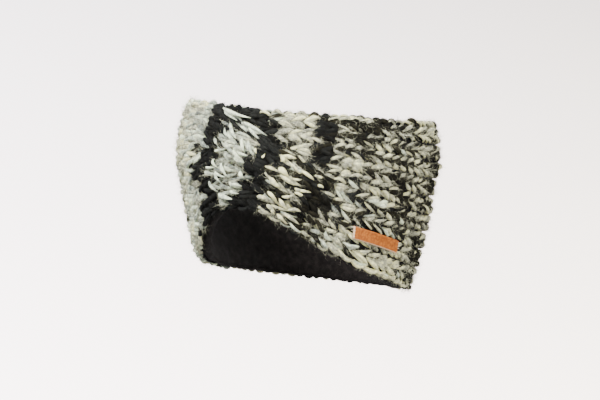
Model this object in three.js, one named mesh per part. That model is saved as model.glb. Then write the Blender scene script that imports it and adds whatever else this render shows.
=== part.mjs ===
// Ear warmer headband, knitted in one wide loop whose two halves cross at the front.
// Millimetres, +Z up, forehead towards -Y, back of the head towards +Y.
// The origin is the middle of the head opening, at half of the band's height.
//
// Three pieces:
//   knit_band  the knitted loop, a thick soft wall with the crossing at its front
//   lining     the dark fleece band inside it, turned under along both rims
//   label      the small leather tab sewn on near the wearer's temple
//
// A place on the band is given by its angle round the head (degrees, 0 at the
// forehead, growing towards +X) and its height z.

import * as THREE from "three";

// ---------------------------------------------------------------- sizes, mm
const HALF_WIDTH = 86;          // outside of the band, half its width (X)
const HALF_LENGTH = 104;        // outside of the band, half its length (Y)
const KNIT_THICK = 8.5;         // chunky stockinette
const KNIT_RIM_THICK = 5.6;     // thinner at its top and bottom rims
const RIM_DEPTH = 11;           // how far in from a rim the wall thins
const GAP = 0.4;                // between the knit and the lining
const LINING_INSIDE = 12.4;     // outside of the knit to inside of the lining
const LINING_INSET_TOP = 2.5;   // lining stops short of the knit's top rim
const LINING_INSET_BOTTOM = 0.8;

const CROSS_ANGLE = 12.5;       // middle of the crossing
const CROSS_REACH = 36;         // degrees to each side over which it fades out
const OVER_RISE = 6.2;          // crest of the strand that lies in front
const UNDER_RISE = 2.2;         // crest of the strand that passes behind
const CREASE_DEPTH = 3.2;       // furrow along the front strand's two edges
const OVER_SIDE = 4.6;          // how quickly the front strand's side rises
const UNDER_SIDE = 8.5;         // how slowly the back strand comes up from it

const LABEL = {
  from: 52.6, to: 79.0,         // angles of its two ends
  zFrom: -21.6, zTo: -33.0,     // height of its middle line at each end
  tall: 8.4, thick: 1.4,
  clear: 0.35,                  // above the knit's outer face
  steps: 14,
};

// ---------------------------------------------------------------- tables
// The head's form: how much narrower the band is at each height.
const FORM = [
  // z, scale
  { z: -76, scale: 0.742 },
  { z: -66, scale: 0.772 },
  { z: -58, scale: 0.800 },
  { z: -45, scale: 0.842 },
  { z: -31, scale: 0.882 },
  { z: -12, scale: 0.925 },
  { z: 4, scale: 0.960 },
  { z: 18, scale: 0.988 },
  { z: 30, scale: 0.994 },
  { z: 46, scale: 0.970 },
  { z: 60, scale: 0.932 },
  { z: 72, scale: 0.890 },
];

// Top and bottom rim heights round the head.
const RIMS = [
  // angle, top, bottom
  { angle: -165, top: 52.5, bottom: -64 },
  { angle: -135, top: 57, bottom: -60 },
  { angle: -105, top: 61.5, bottom: -55 },
  { angle: -85, top: 64, bottom: -51 },
  { angle: -68, top: 65, bottom: -46.5 },
  { angle: -54, top: 65, bottom: -40.5 },
  { angle: -40, top: 64.6, bottom: -31 },
  { angle: -30, top: 64, bottom: -21 },
  { angle: -20, top: 62.8, bottom: -12.5 },
  { angle: -10, top: 61.2, bottom: -7.4 },
  { angle: 0, top: 59.8, bottom: -5.8 },
  { angle: 10, top: 58.3, bottom: -8.6 },
  { angle: 20, top: 57.2, bottom: -16 },
  { angle: 30, top: 56.4, bottom: -25 },
  { angle: 42, top: 55.4, bottom: -35.5 },
  { angle: 56, top: 54, bottom: -44 },
  { angle: 72, top: 52.2, bottom: -51.5 },
  { angle: 90, top: 51, bottom: -59 },
  { angle: 110, top: 49.6, bottom: -64.5 },
  { angle: 130, top: 48.8, bottom: -66.5 },
  { angle: 155, top: 49, bottom: -66.6 },
  { angle: 178, top: 50.2, bottom: -65.6 },
];

// Upper and lower edge of the strand that lies in front, where it crosses.
const OVER = [
  // angle, upper, lower
  { angle: -24, upper: 74, lower: 36 },
  { angle: -12, upper: 62, lower: 32 },
  { angle: -3, upper: 54.5, lower: 25.5 },
  { angle: 5, upper: 49, lower: 18.5 },
  { angle: 12.5, upper: 42.5, lower: 10 },
  { angle: 20, upper: 34, lower: 2 },
  { angle: 28, upper: 26.5, lower: -8 },
  { angle: 37, upper: 20, lower: -20 },
  { angle: 49, upper: 15, lower: -36 },
];

// Colours, with how rough each surface is.
const LOOKS = {
  knit_band: { color: 0x7d7d74, roughness: 0.95 },
  lining: { color: 0x2a2422, roughness: 1.0 },
  label: { color: 0xbd7c49, roughness: 0.6 },
};

// ---------------------------------------------------------------- helpers
const RAD = Math.PI / 180;
const clamp = (v, lo, hi) => Math.min(hi, Math.max(lo, v));
const ease = (v) => { const s = clamp(v, 0, 1); return s * s * (3 - 2 * s); };

// A smooth curve through a table's rows, with the slope at each row taken from
// its neighbours. With a period it closes on itself.
function curve(rows, key, value, period = 0) {
  let xs = rows.map((r) => r[key]);
  let ys = rows.map((r) => r[value]);
  if (period) {
    const n = xs.length;
    xs = [xs[n - 2] - period, xs[n - 1] - period, ...xs, xs[0] + period, xs[1] + period];
    ys = [ys[n - 2], ys[n - 1], ...ys, ys[0], ys[1]];
  }
  const slope = xs.map((x, i) => {
    const a = Math.max(0, i - 1), b = Math.min(xs.length - 1, i + 1);
    return (ys[b] - ys[a]) / (xs[b] - xs[a]);
  });
  return (x0) => {
    let x = x0;
    if (period) x = ((((x0 - xs[2]) % period) + period) % period) + xs[2];
    x = clamp(x, xs[0], xs[xs.length - 1]);
    let i = 0;
    while (i < xs.length - 2 && x > xs[i + 1]) i++;
    const h = xs[i + 1] - xs[i], s = (x - xs[i]) / h;
    const s2 = s * s, s3 = s2 * s;
    return (2 * s3 - 3 * s2 + 1) * ys[i] + (s3 - 2 * s2 + s) * h * slope[i]
      + (-2 * s3 + 3 * s2) * ys[i + 1] + (s3 - s2) * h * slope[i + 1];
  };
}

const formAt = curve(FORM, "z", "scale");
const topAt = curve(RIMS, "angle", "top", 360);
const bottomAt = curve(RIMS, "angle", "bottom", 360);
const overUpperAt = curve(OVER, "angle", "upper");
const overLowerAt = curve(OVER, "angle", "lower");

// How far the crossing lifts the outer face above the head's plain form.
function relief(angle, z) {
  const fade = 1 - ease(Math.abs(angle - CROSS_ANGLE) / CROSS_REACH);
  if (fade <= 0) return 0;
  const inside = 0.77 * Math.min(overUpperAt(angle) - z, z - overLowerAt(angle));
  const over = inside > 0
    ? OVER_RISE * (1 - Math.exp(-inside / OVER_SIDE))
    : UNDER_RISE * (1 - Math.exp(inside / UNDER_SIDE));
  const furrow = CREASE_DEPTH * Math.exp(-Math.abs(inside) / (inside > 0 ? OVER_SIDE : UNDER_SIDE));
  return fade * (over - furrow);
}

// A point of the band: depth is measured inwards from the outer face, and
// lift (0 to 1) says how much of the crossing's relief the point takes.
function place(angle, z, depth, lift = 0) {
  const a = angle * RAD;
  const nx = Math.sin(a) / HALF_WIDTH, ny = -Math.cos(a) / HALF_LENGTH;
  const len = Math.hypot(nx, ny);
  const s = formAt(z);
  const out = lift * relief(angle, z) - depth;
  return new THREE.Vector3(
    s * HALF_WIDTH * Math.sin(a) + out * nx / len,
    -s * HALF_LENGTH * Math.cos(a) + out * ny / len,
    z,
  );
}

// Angles of the cross-sections: close together over the front, wider behind.
function sectionAngles() {
  const list = [];
  for (let a = -35; a < 61; a += 2.7) list.push(a);
  const start = list[list.length - 1], left = 360 - (start + 35);
  const steps = Math.ceil(left / 6);
  for (let i = 1; i < steps; i++) list.push(start + (left * i) / steps);
  return list;
}

// A closed ring of cross-sections, each a loop of points, as one solid skin.
function ring(loops) {
  const m = loops.length, n = loops[0].length;
  const pos = [], index = [];
  for (const loop of loops) for (const p of loop) pos.push(p.x, p.y, p.z);
  for (let i = 0; i < m; i++) {
    const j = (i + 1) % m;
    for (let k = 0; k < n; k++) {
      const l = (k + 1) % n;
      const a = i * n + k, b = j * n + k, c = j * n + l, d = i * n + l;
      index.push(a, b, c, a, c, d);
    }
  }
  const g = new THREE.BufferGeometry();
  g.setAttribute("position", new THREE.Float32BufferAttribute(pos, 3));
  g.setIndex(index);
  g.computeVertexNormals();
  return g;
}

// Wall thickness of the knit at a distance from the nearer rim.
const knitThick = (edge) =>
  KNIT_RIM_THICK + (KNIT_THICK - KNIT_RIM_THICK) * ease(edge / RIM_DEPTH);

// Heights at which a section is sampled, as distances in from the rims.
function stations(bottom, top, near, middle) {
  const lo = near.map((e) => bottom + e);
  const hi = near.map((e) => top - e).reverse();
  const a = lo[lo.length - 1], b = hi[0];
  const mid = [];
  for (let i = 1; i < middle; i++) mid.push(a + ((b - a) * i) / middle);
  return [...lo, ...mid, ...hi];
}

// Heights of the outer face's rows. Over the crossing they gather along the
// front strand's two edges, so that the furrows there run straight.
function outerRows(angle, bottom, top, r) {
  const even = stations(bottom, top, [r, 6.5, 11], 15);
  const gather = 1 - ease((Math.abs(angle - CROSS_ANGLE) - 22) / 18);
  if (gather <= 0) return even;
  const first = 2, lower = 7, upper = 13, last = even.length - 3;
  const zLower = clamp(overLowerAt(angle), bottom + 15, top - 34);
  const zUpper = clamp(overUpperAt(angle), zLower + 16, top - 14);
  const between = (k, k0, k1, z0, z1) => z0 + ((z1 - z0) * (k - k0)) / (k1 - k0);
  return even.map((z, k) => {
    let own = z;
    if (k > first && k <= lower) own = between(k, first, lower, even[first], zLower);
    else if (k > lower && k <= upper) own = between(k, lower, upper, zLower, zUpper);
    else if (k > upper && k < last) own = between(k, upper, last, zUpper, even[last]);
    return z + gather * (own - z);
  });
}

// ---------------------------------------------------------------- knit_band
// Each section runs up the outer face, over the rounded top rim, down the
// inner face and round the bottom rim.
function knitSection(angle) {
  const bottom = bottomAt(angle), top = topAt(angle);
  const edge = (z) => Math.min(z - bottom, top - z);
  const r = KNIT_RIM_THICK / 2;
  const loop = [];
  for (const z of outerRows(angle, bottom, top, r)) loop.push(place(angle, z, 0, 1));
  for (const q of [45, 90, 135]) {
    loop.push(place(angle, top - r + r * Math.sin(q * RAD), r - r * Math.cos(q * RAD), 0.5 + 0.5 * Math.cos(q * RAD)));
  }
  for (const z of stations(bottom, top, [r, 6.5, 11], 5).reverse()) loop.push(place(angle, z, knitThick(edge(z) - r)));
  for (const q of [135, 90, 45]) {
    loop.push(place(angle, bottom + r - r * Math.sin(q * RAD), r - r * Math.cos(q * RAD), 0.5 + 0.5 * Math.cos(q * RAD)));
  }
  return loop;
}

// ---------------------------------------------------------------- lining
function liningSection(angle) {
  const bottom = bottomAt(angle), top = topAt(angle);
  const r0 = KNIT_RIM_THICK / 2;
  const edge = (z) => Math.min(z - bottom, top - z);
  const outer = (z) => knitThick(Math.max(0, edge(z) - r0)) + GAP;
  const b = bottom + LINING_INSET_BOTTOM, t = top - LINING_INSET_TOP;
  const rim = (LINING_INSIDE - KNIT_RIM_THICK - GAP) / 2;   // half the turned-under rim
  const mid = KNIT_RIM_THICK + GAP + rim;
  const zs = stations(bottom, top, [6.5, 11], 5);
  const loop = [];
  for (const z of zs) loop.push(place(angle, z, outer(z)));
  for (const q of [35, 90, 145]) {
    loop.push(place(angle, t - rim + rim * Math.sin(q * RAD), mid - rim * Math.cos(q * RAD)));
  }
  for (const z of [...zs].reverse()) loop.push(place(angle, z, LINING_INSIDE));
  for (const q of [145, 90, 35]) {
    loop.push(place(angle, b + rim - rim * Math.sin(q * RAD), mid - rim * Math.cos(q * RAD)));
  }
  return loop;
}

// ---------------------------------------------------------------- label
// A thin strip that follows the band's outer face.
function labelGeometry() {
  const { from, to, zFrom, zTo, tall, thick, clear, steps } = LABEL;
  const rows = 3;
  const pos = [], index = [];
  const id = (i, j, side) => (i * (rows + 1) + j) * 2 + side;
  for (let i = 0; i <= steps; i++) {
    const u = i / steps;
    for (let j = 0; j <= rows; j++) {
      const z = zFrom + (zTo - zFrom) * u + tall * (j / rows - 0.5);
      const angle = from + (to - from) * u;
      for (const depth of [-clear, -clear - thick]) {
        const p = place(angle, z, depth, 1);
        pos.push(p.x, p.y, p.z);
      }
    }
  }
  const quad = (a, b, c, d) => index.push(a, b, c, a, c, d);
  for (let i = 0; i < steps; i++) {
    for (let j = 0; j < rows; j++) {
      quad(id(i, j, 1), id(i + 1, j, 1), id(i + 1, j + 1, 1), id(i, j + 1, 1));
      quad(id(i, j, 0), id(i, j + 1, 0), id(i + 1, j + 1, 0), id(i + 1, j, 0));
    }
    quad(id(i, 0, 0), id(i + 1, 0, 0), id(i + 1, 0, 1), id(i, 0, 1));
    quad(id(i, rows, 1), id(i + 1, rows, 1), id(i + 1, rows, 0), id(i, rows, 0));
  }
  for (let j = 0; j < rows; j++) {
    quad(id(0, j, 0), id(0, j, 1), id(0, j + 1, 1), id(0, j + 1, 0));
    quad(id(steps, j, 1), id(steps, j, 0), id(steps, j + 1, 0), id(steps, j + 1, 1));
  }
  const g = new THREE.BufferGeometry();
  g.setAttribute("position", new THREE.Float32BufferAttribute(pos, 3));
  g.setIndex(index);
  g.computeVertexNormals();
  return g;
}

// ---------------------------------------------------------------- assembly
function piece(name, geometry) {
  const { color, roughness } = LOOKS[name];
  const mesh = new THREE.Mesh(geometry, new THREE.MeshStandardMaterial({ color, roughness, metalness: 0 }));
  mesh.name = name;
  return mesh;
}

const angles = sectionAngles();
const headband = new THREE.Group();
headband.name = "ear_warmer_headband";
headband.add(
  piece("knit_band", ring(angles.map(knitSection))),
  piece("lining", ring(angles.map(liningSection))),
  piece("label", labelGeometry()),
);

export default headband;
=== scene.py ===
"""Looks of a wide, chunky-knit ear warmer headband whose two halves cross at the
forehead: every stitch is modelled as yarn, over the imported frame.

Lengths in the tables are millimetres, angles are degrees round the head (0 at the
forehead, growing towards +X). Meshes are written in metres."""

import math

import bpy
import numpy as np
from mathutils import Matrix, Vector


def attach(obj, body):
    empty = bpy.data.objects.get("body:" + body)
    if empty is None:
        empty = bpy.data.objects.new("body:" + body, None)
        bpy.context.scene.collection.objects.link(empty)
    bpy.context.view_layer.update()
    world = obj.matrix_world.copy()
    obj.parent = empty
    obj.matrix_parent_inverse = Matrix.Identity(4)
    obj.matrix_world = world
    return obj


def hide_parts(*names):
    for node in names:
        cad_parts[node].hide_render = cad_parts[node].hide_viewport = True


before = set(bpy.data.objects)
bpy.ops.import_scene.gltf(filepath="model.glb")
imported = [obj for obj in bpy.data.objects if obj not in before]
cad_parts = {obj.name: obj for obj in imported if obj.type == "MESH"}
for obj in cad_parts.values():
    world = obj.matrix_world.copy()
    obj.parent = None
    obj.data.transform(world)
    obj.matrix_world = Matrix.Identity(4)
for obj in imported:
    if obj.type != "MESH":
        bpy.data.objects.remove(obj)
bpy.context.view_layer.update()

RAD = math.pi / 180.0
HALF_WIDTH, HALF_LENGTH = 86.0, 104.0
TAB_FROM, TAB_TO = 52.6, 79.0          # angles of the tab's ends, as the solid's
TAB_Z0, TAB_Z1 = -21.6, -33.0          # height of its middle line at each end
CROSS_ANGLE, CROSS_REACH = 12.5, 36.0

# ------------------------------------------------------------------ the form
# The same tables as the CAD source has.
FORM = [(-76, .742), (-66, .772), (-58, .800), (-45, .842), (-31, .882), (-12, .925),
        (4, .960), (18, .988), (30, .994), (46, .970), (60, .932), (72, .890)]
RIMS = [(-165, 52.5, -64), (-135, 57, -60), (-105, 61.5, -55), (-85, 64, -51),
        (-68, 65, -46.5), (-54, 65, -40.5), (-40, 64.6, -31), (-30, 64, -21),
        (-20, 62.8, -12.5), (-10, 61.2, -7.4), (0, 59.8, -5.8), (10, 58.3, -8.6),
        (20, 57.2, -16), (30, 56.4, -25), (42, 55.4, -35.5), (56, 54, -44),
        (72, 52.2, -51.5), (90, 51, -59), (110, 49.6, -64.5), (130, 48.8, -66.5),
        (155, 49, -66.6), (178, 50.2, -65.6)]
OVER = [(-24, 74, 36), (-12, 62, 32), (-3, 54.5, 25.5), (5, 49, 18.5), (12.5, 42.5, 10),
        (20, 34, 2), (28, 26.5, -8), (37, 20, -20), (49, 15, -36)]


def hermite(xs, ys, period=0.0):
    """A smooth curve through the rows, with each slope taken from its neighbours."""
    xs, ys = list(map(float, xs)), list(map(float, ys))
    if period:
        xs = [xs[-2] - period, xs[-1] - period] + xs + [xs[0] + period, xs[1] + period]
        ys = [ys[-2], ys[-1]] + ys + [ys[0], ys[1]]
    xs, ys = np.array(xs), np.array(ys)
    n = len(xs)
    a = np.maximum(np.arange(n) - 1, 0)
    b = np.minimum(np.arange(n) + 1, n - 1)
    slope = (ys[b] - ys[a]) / (xs[b] - xs[a])

    def at(x):
        x = np.asarray(x, float)
        if period:
            x = np.mod(x - xs[2], period) + xs[2]
        x = np.clip(x, xs[0], xs[-1])
        i = np.clip(np.searchsorted(xs, x, side="left") - 1, 0, n - 2)
        h = xs[i + 1] - xs[i]
        s = (x - xs[i]) / h
        s2, s3 = s * s, s * s * s
        return ((2 * s3 - 3 * s2 + 1) * ys[i] + (s3 - 2 * s2 + s) * h * slope[i]
                + (-2 * s3 + 3 * s2) * ys[i + 1] + (s3 - s2) * h * slope[i + 1])

    return at


form = hermite([r[0] for r in FORM], [r[1] for r in FORM])
top = hermite([r[0] for r in RIMS], [r[1] for r in RIMS], 360.0)
bottom = hermite([r[0] for r in RIMS], [r[2] for r in RIMS], 360.0)
cad_upper = hermite([r[0] for r in OVER], [r[1] for r in OVER])
cad_lower = hermite([r[0] for r in OVER], [r[2] for r in OVER])


def ease(v):
    s = np.clip(v, 0.0, 1.0)
    return s * s * (3 - 2 * s)


def relief(t, z):
    """How far the crossing lifts the CAD solid's outer face."""
    fade = 1 - ease(np.abs(t - CROSS_ANGLE) / CROSS_REACH)
    inside = 0.77 * np.minimum(cad_upper(t) - z, z - cad_lower(t))
    over = np.where(inside > 0, 6.2 * (1 - np.exp(-np.maximum(inside, 0) / 4.6)),
                    2.2 * (1 - np.exp(np.minimum(inside, 0) / 8.5)))
    furrow = 3.2 * np.exp(-np.abs(inside) / np.where(inside > 0, 4.6, 8.5))
    return fade * (over - furrow)


def side_normal(t):
    nx, ny = np.sin(t * RAD) / HALF_WIDTH, -np.cos(t * RAD) / HALF_LENGTH
    k = np.hypot(nx, ny)
    return np.stack([nx / k, ny / k, np.zeros_like(nx)], -1)


def place(t, z, out=0.0):
    """A point of the band, out millimetres in front of the head's plain form."""
    t, z = np.broadcast_arrays(np.asarray(t, float), np.asarray(z, float))
    s = form(z)
    base = np.stack([s * HALF_WIDTH * np.sin(t * RAD), -s * HALF_LENGTH * np.cos(t * RAD), z], -1)
    return base + side_normal(t) * np.asarray(out, float)[..., None]


# Length along the loop, measured from the crossing, at the form's mean size.
_t = np.linspace(-180.0, 180.0, 3601)
_ds = np.hypot(86 * np.cos(_t * RAD), 104 * np.sin(_t * RAD)) * 0.965 * RAD
_u = np.concatenate([[0.0], np.cumsum((_ds[1:] + _ds[:-1]) / 2 * (_t[1] - _t[0]))])
LOOP = float(_u[-1])
_u0 = float(np.interp(CROSS_ANGLE, _t, _u))


def along(t):
    turns = np.floor((t + 180.0) / 360.0)
    return np.interp(t - 360 * turns, _t, _u) - _u0 + turns * LOOP


def angle_at(u):
    v = u + _u0
    turns = np.floor(v / LOOP)
    return np.interp(v - turns * LOOP, _u, _t) + 360 * turns


# ------------------------------------------------------------------ strands
# Three strips of five stitch columns each make the band. "front" runs from the upper
# half on the far side, over the crossing, to the lower half on the near side. "low"
# and "high" pass behind it.
UPPER = hermite([-40, -24, -12, -3, 5, 12.5, 20, 28, 37, 49, 60, 75, 90, 105, 180],
                [84, 74, 62, 54.5, 49, 42.5, 34, 26.5, 20, 14.5, 9, 1.5, -4, -7, -7.7])
LOWER = hermite([-180, -110, -95, -75, -60, -45, -24, -12, -3, 5, 12.5, 20, 28, 37, 49, 60, 75],
                [-7.7, 3.2, 6, 10.5, 16, 24, 34, 31, 25.5, 18.5, 10, 2, -8, -20, -37, -58, -90])


def soft_min(a, b, w=2.0):
    return np.where(np.abs(a - b) < 4 * w, (a + b - np.sqrt((a - b) ** 2 + w * w)) / 2 + w * 0.06,
                    np.minimum(a, b))


def soft_max(a, b, w=2.0):
    return -soft_min(-a, -b, w)


def front_lo(t):
    return np.where(t > 30, soft_max(LOWER(t), bottom(t)), LOWER(t))


def front_hi(t):
    return np.where(t < 0, soft_min(UPPER(t), top(t)), UPPER(t))


def low_lo(t):
    return bottom(t)


LOW_PITCH = hermite([-180, -60, -35, -24, -8, 10, 30, 60], [9, 9, 9, 8.7, 8.2, 7.8, 7.6, 7.6])


def low_hi(t):
    free = bottom(t) + 6 * LOW_PITCH(t)
    w = ease((t + 34) / 16)
    return LOWER(t) * (1 - w) + np.maximum(free, LOWER(t) * 0 + free) * w


HIGH_PITCH = hermite([-30, 0, 25, 40, 49, 60], [7.2, 7.2, 7.0, 6.7, 6.7, 7.4])


def high_lo(t):
    free = top(t) - 6 * HIGH_PITCH(t)
    w = ease((58 - t) / 14)
    return UPPER(t) * (1 - w) + free * w


RIM_R, RIM_TURN = 3.3, 112 * RAD      # the rims curl inwards
FOLD_R, FOLD_TURN = 4.4, 150 * RAD    # the front strand's edges roll under at the crossing

STRIPS = {
    # lo, hi, from, to
    "front": (front_lo, front_hi, -180.0, 180.0),
    "low": (low_lo, low_hi, -180.0, 54.0),
    "high": (high_lo, top, -19.0, 180.0),
}


def edges(name, t):
    """Roll radius and turn of a strip's lower and upper edge."""
    one = np.ones_like(t)
    if name == "front":
        rim_lo = ease((t - 40) / 10)
        fold_lo = ease((t + 34) / 22) * (1 - rim_lo)
        rim_hi = 1 - ease((t + 22) / 12)
        fold_hi = ease((t + 22) / 12) * (1 - ease((t - 33) / 24))
        return (RIM_R * rim_lo + FOLD_R * fold_lo, RIM_TURN * rim_lo + FOLD_TURN * fold_lo,
                RIM_R * rim_hi + FOLD_R * fold_hi, RIM_TURN * rim_hi + FOLD_TURN * fold_hi)
    if name == "low":
        return RIM_R * one, RIM_TURN * one, 0 * one, 0 * one
    return 0 * one, 0 * one, RIM_R * one, RIM_TURN * one


def lift_of(name, t, z, lo, hi):
    """Height of a strip's surface above the head's plain form."""
    fade = 1 - ease(np.abs(t - CROSS_ANGLE) / CROSS_REACH)
    if name == "front":
        y = np.abs(2 * (z - lo) / np.maximum(hi - lo, 1) - 1)
        return fade * (6.0 - 1.7 * y ** 2.2)
    edge = LOWER(t) if name == "low" else UPPER(t)
    inside = 0.8 * (z - edge) * (1 if name == "low" else -1)     # above 0 under the front strand
    shut = ease((t + 36) / 26) if name == "low" else ease((54 - t) / 22)
    crease = np.where(inside < 0, 4.2 * np.exp(np.minimum(inside, 0) / 5.5),
                      4.2 + 1.6 * np.minimum(inside / 6.0, 1))
    return fade * 2.0 - shut * crease


def strip_at(name, u, f, h=None):
    """Points of a strip's surface and its outward direction. u is the length along the
    loop, and f goes from 0 at the lower edge to 1 at the upper one."""
    lo_of, hi_of = STRIPS[name][:2]
    t = angle_at(u)
    for _ in range(4):
        lo, hi = lo_of(t), hi_of(t)
        z = lo + (hi - lo) * f
        g = ease((t + 45) / 30) * ease((75 - t) / 35)
        t = angle_at(u + 0.3 * (z - 24) * g)
    lo, hi = lo_of(t), hi_of(t)
    d = 0.6
    run = np.hypot(86 * np.cos(t * RAD), 104 * np.sin(t * RAD)) * 0.965 * RAD * 2 * d
    slope = ((lo_of(t + d) + hi_of(t + d)) - (lo_of(t - d) + hi_of(t - d))) / 2 / run
    k = np.sqrt(1 + slope ** 2)
    rl, tl, ru, tu = edges(name, t)
    wide = (hi - lo) / k
    total = wide - rl - ru + rl * tl + ru * tu
    a = f * total
    low = a < rl * tl
    high = a > total - ru * tu
    th = np.where(low, tl - a / np.maximum(rl, 1e-6), np.where(high, tu - (total - a) / np.maximum(ru, 1e-6), 0.0))
    y = np.where(low, rl - rl * np.sin(th), np.where(high, wide - ru + ru * np.sin(th), rl + a - rl * tl))
    depth = np.where(low, rl, np.where(high, ru, 0.0)) * (1 - np.cos(th))
    z = lo + y * k
    zc = np.clip(z, lo + 0.5, hi - 0.5)
    lift = lift_of(name, t, zc, lo, hi)
    n_h = side_normal(t)
    tangent = np.stack([np.cos(t * RAD) * HALF_WIDTH, np.sin(t * RAD) * HALF_LENGTH, 0 * t], -1)
    tangent /= np.linalg.norm(tangent, axis=-1, keepdims=True)
    lean = (form(z + 1) - form(z - 1)) / 2 * np.hypot(86 * np.sin(t * RAD), 104 * np.cos(t * RAD))
    across = np.stack([0 * t, 0 * t, np.ones_like(t)], -1) / k[..., None] - tangent * (slope / k)[..., None]
    across += n_h * lean[..., None]
    across /= np.linalg.norm(across, axis=-1, keepdims=True)
    n_s = n_h - across * (np.sum(n_h * across, -1, keepdims=True))
    n_s /= np.linalg.norm(n_s, axis=-1, keepdims=True)
    sign = np.where(low, -1.0, np.where(high, 1.0, 0.0))
    normal = n_s * np.cos(th)[..., None] + across * (np.sin(th) * sign)[..., None]
    point = place(t, z, lift - depth)
    if h is not None:
        point = point + normal * h[..., None]
    return point, normal, t, z


# ------------------------------------------------------------------ materials
def linear(r, g, b):
    def one(v):
        v /= 255.0
        return v / 12.92 if v <= 0.04045 else ((v + 0.055) / 1.055) ** 2.4
    return one(r), one(g), one(b), 1.0


class Nodes:
    def __init__(self, name):
        self.mat = bpy.data.materials.new(name)
        self.mat.use_nodes = True
        self.tree = self.mat.node_tree
        self.tree.nodes.clear()
        self.out = self.tree.nodes.new("ShaderNodeOutputMaterial")

    def add(self, kind, values=None, **props):
        node = self.tree.nodes.new(kind)
        for key, value in props.items():
            setattr(node, key, value)
        for key, value in (values or {}).items():
            node.inputs[key].default_value = value
        return node

    def link(self, a, out, b, into):
        self.tree.links.new(a.outputs[out], b.inputs[into])


def ramp(n, stops):
    node = n.add("ShaderNodeValToRGB")
    els = node.color_ramp.elements
    while len(els) > 1:
        els.remove(els[-1])
    els[0].position, els[0].color = stops[0]
    for pos, col in stops[1:]:
        els.new(pos).color = col
    return node


def wool(name, dark, mid, light, sheen, rough=0.92, coarse=160.0, fine=2600.0, bump=0.5,
         tint=(1, 1, 1, 1), spun=False):
    """Wool: blotches of tone, fine fibres, and a soft sheen. Where it is spun, the fibres
    run along the yarn."""
    n = Nodes(name)
    if spun:
        own = n.add("ShaderNodeAttribute", attribute_name="yarn")
        twist = n.add("ShaderNodeMapping", {"Scale": (1.0, 1.0, 0.16), "Rotation": (0.35, 0.0, 0.0)})
        a = n.add("ShaderNodeTexNoise", {"Scale": 0.30, "Detail": 2.0, "Roughness": 0.5})
        c = n.add("ShaderNodeTexNoise", {"Scale": 0.85, "Detail": 3.0, "Roughness": 0.6})
        b = n.add("ShaderNodeTexNoise", {"Scale": 3.4, "Detail": 4.0, "Roughness": 0.65})
        n.link(own, "Vector", a, "Vector")
        n.link(own, "Vector", c, "Vector")
        n.link(own, "Vector", twist, "Vector")
        n.link(twist, "Vector", b, "Vector")
        shade_of = n.add("ShaderNodeAttribute", attribute_name="shade")
        parts = [(a, 0.28), (c, 0.34), (b, 0.34), (shade_of, 0.26)]
    else:
        pos = n.add("ShaderNodeTexCoord")
        a = n.add("ShaderNodeTexNoise", {"Scale": coarse, "Detail": 4.0, "Roughness": 0.6})
        b = n.add("ShaderNodeTexNoise", {"Scale": fine, "Detail": 5.0, "Roughness": 0.7})
        n.link(pos, "Object", a, "Vector")
        n.link(pos, "Object", b, "Vector")
        parts = [(a, 0.5), (b, 0.5)]
    total = None
    for tex, share in parts:
        m = n.add("ShaderNodeMath", {1: share, 2: 0.0}, operation="MULTIPLY_ADD")
        n.link(tex, "Fac", m, 0)
        if total:
            n.link(total, 0, m, 2)
        total = m
    mean = 0.61 if spun else 0.50
    r = ramp(n, [(mean - 0.09, dark), (mean, mid), (mean + 0.09, light)])
    n.link(total, 0, r, "Fac")
    lump = n.add("ShaderNodeBump", {"Strength": bump, "Distance": 0.0008})
    n.link(b, "Fac", lump, "Height")
    shade = n.add("ShaderNodeBsdfPrincipled", {"Roughness": rough, "Sheen Weight": sheen,
                                               "Sheen Roughness": 0.45, "Sheen Tint": tint,
                                               "Specular IOR Level": 0.12})
    n.link(r, "Color", shade, "Base Color")
    n.link(lump, "Normal", shade, "Normal")
    n.link(shade, "BSDF", n.out, "Surface")
    return n.mat


def tone(v, r=1.0, g=1.0, b=1.0):
    return v * r, v * g, v * b, 1.0


LIGHT = wool("wool_light", tone(0.12, 1, 1.14, 1.02), tone(0.445, 1, 1.12, 0.90), tone(0.95, 1, 1.10, 0.78), 0.07, spun=True, bump=1.0)
CREAM = wool("wool_cream", tone(0.125, 1, 1.00, 0.76), tone(0.465, 1, 0.99, 0.70), tone(1.0, 1, 0.965, 0.51), 0.07, spun=True, bump=1.0)
BLACK = wool("wool_black", tone(0.0035, 1, 1.08, 0.98), tone(0.0075, 1, 1.08, 0.98), tone(0.016, 1, 1.07, 0.96), 0.01, spun=True, bump=0.8)
# Painted bounce light: black yarn with a warm tint, used round the near side.
BLACK_WARM_BOUNCE = wool("wool_black_painted_bounce", tone(0.0042, 1, 0.91, 0.48), tone(0.0094, 1, 0.91, 0.47), tone(0.023, 1, 0.91, 0.47), 0.01, spun=True, bump=0.8)
# Painted shade: colours of the sheet behind the stitches, seen in the gaps between them.
GAP_SHADE_UNDER_LIGHT = wool("painted_gap_shade_light", tone(0.012, 1, 1, 0.85), tone(0.025, 1, 1, 0.85), tone(0.045, 1, 1, 0.85), 0.0)
GAP_SHADE_UNDER_BLACK = wool("painted_gap_shade_dark", tone(0.003), tone(0.006), tone(0.010), 0.0)
FLEECE = wool("fleece_dark", tone(0.006, 1, 0.8, 0.74), tone(0.012, 1, 0.8, 0.74), tone(0.022, 1, 0.8, 0.74), 0.06,
              coarse=260.0, fine=1800.0, bump=0.9)


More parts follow.
